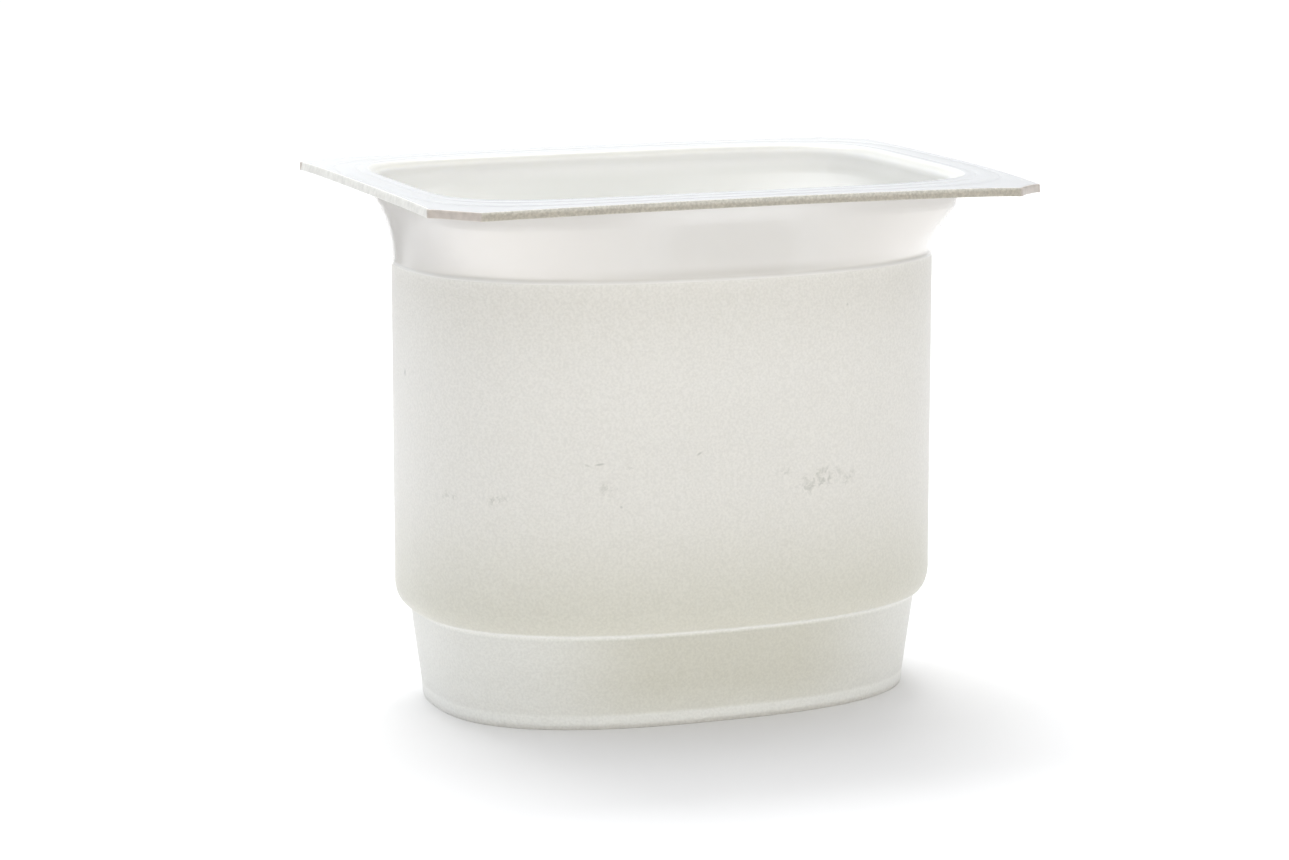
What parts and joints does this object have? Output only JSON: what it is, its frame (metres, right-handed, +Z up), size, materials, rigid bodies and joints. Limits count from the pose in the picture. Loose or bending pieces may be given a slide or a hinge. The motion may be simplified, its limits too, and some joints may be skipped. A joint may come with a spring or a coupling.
{
  "type": "yogurt pot",
  "caption": "Empty thermoformed yogurt pot: an oval cup with a stepped base and a flared neck under a rectangular sealing flange with punched corners.",
  "frame": {"origin": "centre of the foot, on the surface that the pot stands on", "axes": "+Z up to the rim, +X along the flange's long side, -Y towards the long side shown in the picture"},
  "size_m": [0.075, 0.0578, 0.0628],
  "materials": {
    "pot": "milky translucent polystyrene, satin grained on the body and glossy on the neck"
  },
  "bodies": {
    "root": {"pot": "pot"}
  },
  "joints": []
}
